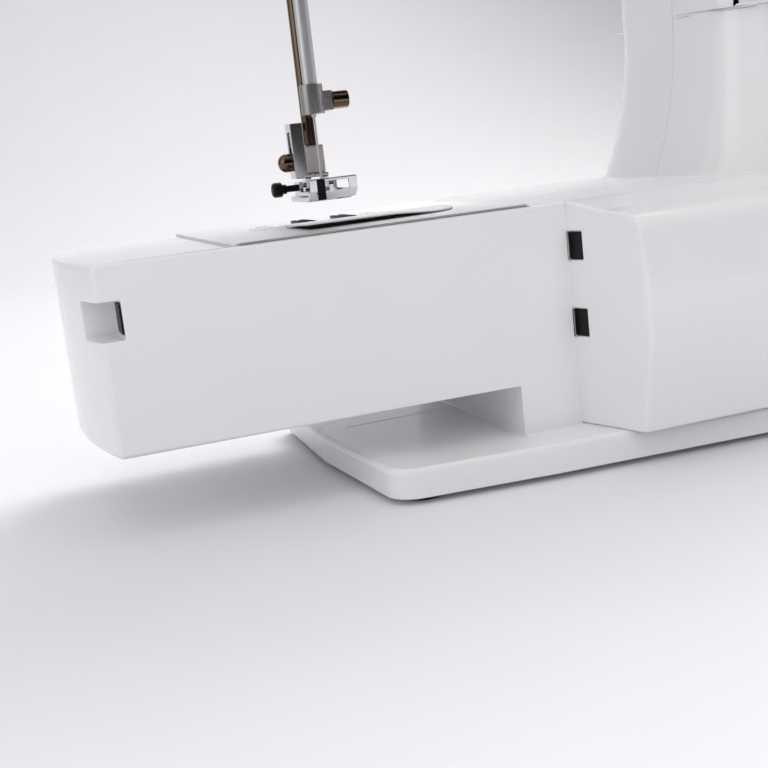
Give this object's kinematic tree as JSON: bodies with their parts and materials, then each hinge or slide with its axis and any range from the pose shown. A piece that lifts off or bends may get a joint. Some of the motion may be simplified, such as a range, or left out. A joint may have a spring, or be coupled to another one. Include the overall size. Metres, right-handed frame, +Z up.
{
  "type": "sewing machine",
  "caption": "Domestic free-arm sewing machine with moulded covers, flat base, needle bar, presser foot, rotary hook, handwheel, front controls and folding carry handle.",
  "frame": {"origin": "middle of the machine's footprint, on the surface it stands on", "axes": "+Z up, -Y towards the operator, +X from the free arm's end towards the handwheel"},
  "size_m": [0.425, 0.1799, 0.3063],
  "materials": {
    "white_abs": "moulded, glossy",
    "white_knob": "moulded, satin",
    "grey_plastic": "moulded, fine grain",
    "black_plastic": "moulded",
    "foot_rubber": "moulded",
    "belt_rubber": "moulded",
    "satin_steel": "fine brushed",
    "zinc_steel": "plated",
    "ground_steel": "ground",
    "blued_steel": "hardened, dark",
    "bronzed_steel": "polished, dark",
    "cast_aluminium": "as cast",
    "bronze": "sintered",
    "motor_steel": "painted",
    "chrome_plate": "polished",
    "nylon_gear": "moulded",
    "clear_plastic": "moulded, clear",
    "circuit_board": "solder mask",
    "display_screen": "polished",
    "green_button": "moulded, lit"
  },
  "bodies": {
    "machine": {"base_front_cover": "white_abs", "base_rear_cover": "white_abs", "rubber_feet": "foot_rubber", "arm_front_cover": "white_abs", "arm_rear_cover": "white_abs", "front_cover": "white_abs", "rear_cover": "white_abs", "face_cover": "white_abs", "spool_tray": "grey_plastic", "needle_plate": "satin_steel", "plate_screws": "zinc_steel", "cover_screws": "zinc_steel", "cast_frame": "cast_aluminium", "shaft_bushes": "bronze", "bobbin_case": "black_plastic", "motor": "motor_steel", "timing_belt": "belt_rubber", "drive_belt": "belt_rubber", "control_board": "circuit_board", "display_window": "display_screen", "spool_pin": "white_knob", "inlet_panel": "black_plastic", "latch_sockets": "black_plastic", "presser_spring": "ground_steel"},
    "main_shaft": {"upper_shaft": "ground_steel", "crank_disc": "cast_aluminium", "upper_pulley": "black_plastic", "clutch_knob": "grey_plastic"},
    "handwheel": {"handwheel": "white_knob"},
    "motor_rotor": {"motor_pulley": "black_plastic"},
    "needle_frame": {"needle_frame": "cast_aluminium"},
    "needle_bar": {"needle_bar": "ground_steel", "needle_clamp": "zinc_steel", "needle": "ground_steel"},
    "clamp_screw": {"clamp_screw": "bronzed_steel"},
    "take_up_lever": {"take_up_lever": "chrome_plate"},
    "lower_shaft": {"lower_shaft": "ground_steel", "lower_pulley": "black_plastic", "drive_gear": "nylon_gear"},
    "rotary_hook": {"rotary_hook": "chrome_plate"},
    "bobbin": {"bobbin": "clear_plastic"},
    "feed_dogs": {"feed_dogs": "blued_steel"},
    "presser": {"presser_bar": "bronzed_steel", "foot_holder": "zinc_steel"},
    "thumb_screw": {"thumb_screw": "bronzed_steel"},
    "presser_foot": {"presser_foot": "chrome_plate"},
    "levelling_button": {"levelling_button": "black_plastic"},
    "presser_lifter": {"presser_lifter": "grey_plastic"},
    "hook_cover": {"hook_cover": "white_abs"},
    "tension_dial": {"tension_dial": "grey_plastic"},
    "start_stop_button": {"start_stop_button": "green_button"},
    "reverse_button": {"reverse_button": "grey_plastic"},
    "speed_slider": {"speed_slider": "grey_plastic"},
    "stitch_selector": {"stitch_selector": "white_knob"},
    "length_dial": {"length_dial": "white_knob"},
    "width_dial": {"width_dial": "white_knob"},
    "top_lid": {"top_lid": "white_abs"},
    "carry_handle": {"carry_handle": "white_abs"},
    "power_rocker": {"power_rocker": "black_plastic"},
    "winder_spindle": {"winder_spindle": "white_knob"}
  },
  "joints": [
    {"name": "main_shaft_turn", "type": "hinge", "parent": "machine", "child": "main_shaft", "pos_m": [-0.1005, 0.032, 0.2542], "axis": [1, 0, 0], "range_deg": [0, 180]},
    {"name": "handwheel_spin", "type": "hinge", "parent": "main_shaft", "child": "handwheel", "pos_m": [-0.1005, 0.032, 0.2542], "axis": [1, 0, 0], "continuous": true},
    {"name": "motor_spin", "type": "hinge", "parent": "machine", "child": "motor_rotor", "pos_m": [-0.1005, 0.042, 0.1502], "axis": [1, 0, 0], "continuous": true},
    {"name": "zigzag_swing", "type": "hinge", "parent": "machine", "child": "needle_frame", "pos_m": [-0.1095, 0.012, 0.2762], "axis": [0, 1, 0], "range_deg": [-1.1, 1.1]},
    {"name": "needle_bar_slide", "type": "slide", "parent": "needle_frame", "child": "needle_bar", "axis": [0, 0, -1], "range_m": [0, 0.031]},
    {"name": "clamp_screw_turn", "type": "hinge", "parent": "needle_bar", "child": "clamp_screw", "pos_m": [-0.1005, 0.012, 0.1526], "axis": [1, 0, 0], "continuous": true},
    {"name": "take_up_swing", "type": "hinge", "parent": "machine", "child": "take_up_lever", "pos_m": [-0.1005, 0.004, 0.2462], "axis": [1, 0, 0], "range_deg": [0, 55]},
    {"name": "lower_shaft_turn", "type": "hinge", "parent": "machine", "child": "lower_shaft", "pos_m": [-0.1005, 0.013, 0.062], "axis": [1, 0, 0], "range_deg": [0, 180]},
    {"name": "hook_turn", "type": "hinge", "parent": "machine", "child": "rotary_hook", "pos_m": [-0.1005, -0.008, 0], "axis": [0, 0, 1], "range_deg": [0, 360]},
    {"name": "bobbin_spin", "type": "hinge", "parent": "machine", "child": "bobbin", "pos_m": [-0.1005, -0.008, 0], "axis": [0, 0, 1], "continuous": true},
    {"name": "feed_drop", "type": "slide", "parent": "machine", "child": "feed_dogs", "axis": [0, 0, -1], "range_m": [0, 0.0015]},
    {"name": "presser_bar_slide", "type": "slide", "parent": "machine", "child": "presser", "axis": [0, 0, -1], "range_m": [0, 0.0075], "deforming": ["presser_spring"]},
    {"name": "thumb_screw_turn", "type": "hinge", "parent": "presser", "child": "thumb_screw", "pos_m": [-0.1005, 0.021, 0.1293], "axis": [1, 0, 0], "continuous": true},
    {"name": "foot_tilt", "type": "hinge", "parent": "presser", "child": "presser_foot", "pos_m": [-0.1005, 0.021, 0.1195], "axis": [-1, 0, 0], "range_deg": [-10, 10]},
    {"name": "levelling_button_press", "type": "slide", "parent": "presser_foot", "child": "levelling_button", "axis": [1, 0, 0], "range_m": [0, 0.0012], "stiffness_N_per_m": 300},
    {"name": "lifter_swing", "type": "hinge", "parent": "machine", "child": "presser_lifter", "pos_m": [-0.0845, 0.012, 0.2174], "axis": [0, 1, 0], "range_deg": [0, 75]},
    {"name": "hook_cover_slide", "type": "slide", "parent": "machine", "child": "hook_cover", "axis": [0, -1, 0], "range_m": [0, 0.024]},
    {"name": "tension_turn", "type": "hinge", "parent": "machine", "child": "tension_dial", "pos_m": [-0.1005, -0.018, 0.2722], "axis": [1, 0, 0], "range_deg": [0, 300]},
    {"name": "start_stop_press", "type": "slide", "parent": "machine", "child": "start_stop_button", "axis": [0, 1, 0], "range_m": [0, 0.0012], "stiffness_N_per_m": 300},
    {"name": "reverse_press", "type": "slide", "parent": "machine", "child": "reverse_button", "axis": [0, 1, 0], "range_m": [0, 0.0012], "stiffness_N_per_m": 300},
    {"name": "speed_slide", "type": "slide", "parent": "machine", "child": "speed_slider", "axis": [1, 0, 0], "range_m": [-0.015, 0.015]},
    {"name": "selector_turn", "type": "hinge", "parent": "machine", "child": "stitch_selector", "pos_m": [0.1345, 0.012, 0.1842], "axis": [0, 1, 0], "continuous": true},
    {"name": "length_turn", "type": "hinge", "parent": "machine", "child": "length_dial", "pos_m": [0.1115, 0.012, 0.2342], "axis": [0, 1, 0], "range_deg": [0, 270]},
    {"name": "width_turn", "type": "hinge", "parent": "machine", "child": "width_dial", "pos_m": [0.1575, 0.012, 0.2342], "axis": [0, 1, 0], "range_deg": [0, 270]},
    {"name": "lid_hinge", "type": "hinge", "parent": "machine", "child": "top_lid", "pos_m": [-0.1005, 0.0481, 0.2948], "axis": [-1, 0, 0], "range_deg": [0, 95]},
    {"name": "handle_swing", "type": "hinge", "parent": "machine", "child": "carry_handle", "pos_m": [-0.1005, 0.064, 0.3003], "axis": [1, 0, 0], "range_deg": [0, 90]},
    {"name": "rocker_tilt", "type": "hinge", "parent": "machine", "child": "power_rocker", "pos_m": [0.1855, 0.012, 0.0622], "axis": [0, 1, 0], "range_deg": [-6, 6]},
    {"name": "winder_spin", "type": "hinge", "parent": "machine", "child": "winder_spindle", "pos_m": [0.0595, 0.02, 0], "axis": [0, 0, 1], "continuous": true}
  ],
  "couplings": [
    {"joint": "main_shaft_turn", "follows": "needle_bar_slide", "rad_per_m": 101.34},
    {"joint": "take_up_swing", "follows": "needle_bar_slide", "rad_per_m": 30.965},
    {"joint": "lower_shaft_turn", "follows": "needle_bar_slide", "rad_per_m": 101.34},
    {"joint": "hook_turn", "follows": "needle_bar_slide", "rad_per_m": 202.68},
    {"joint": "feed_drop", "follows": "needle_bar_slide", "ratio": 0.04838},
    {"joint": "motor_spin", "follows": "handwheel_spin", "ratio": 1.8485},
    {"joint": "lifter_swing", "follows": "presser_bar_slide", "rad_per_m": 174.5}
  ]
}
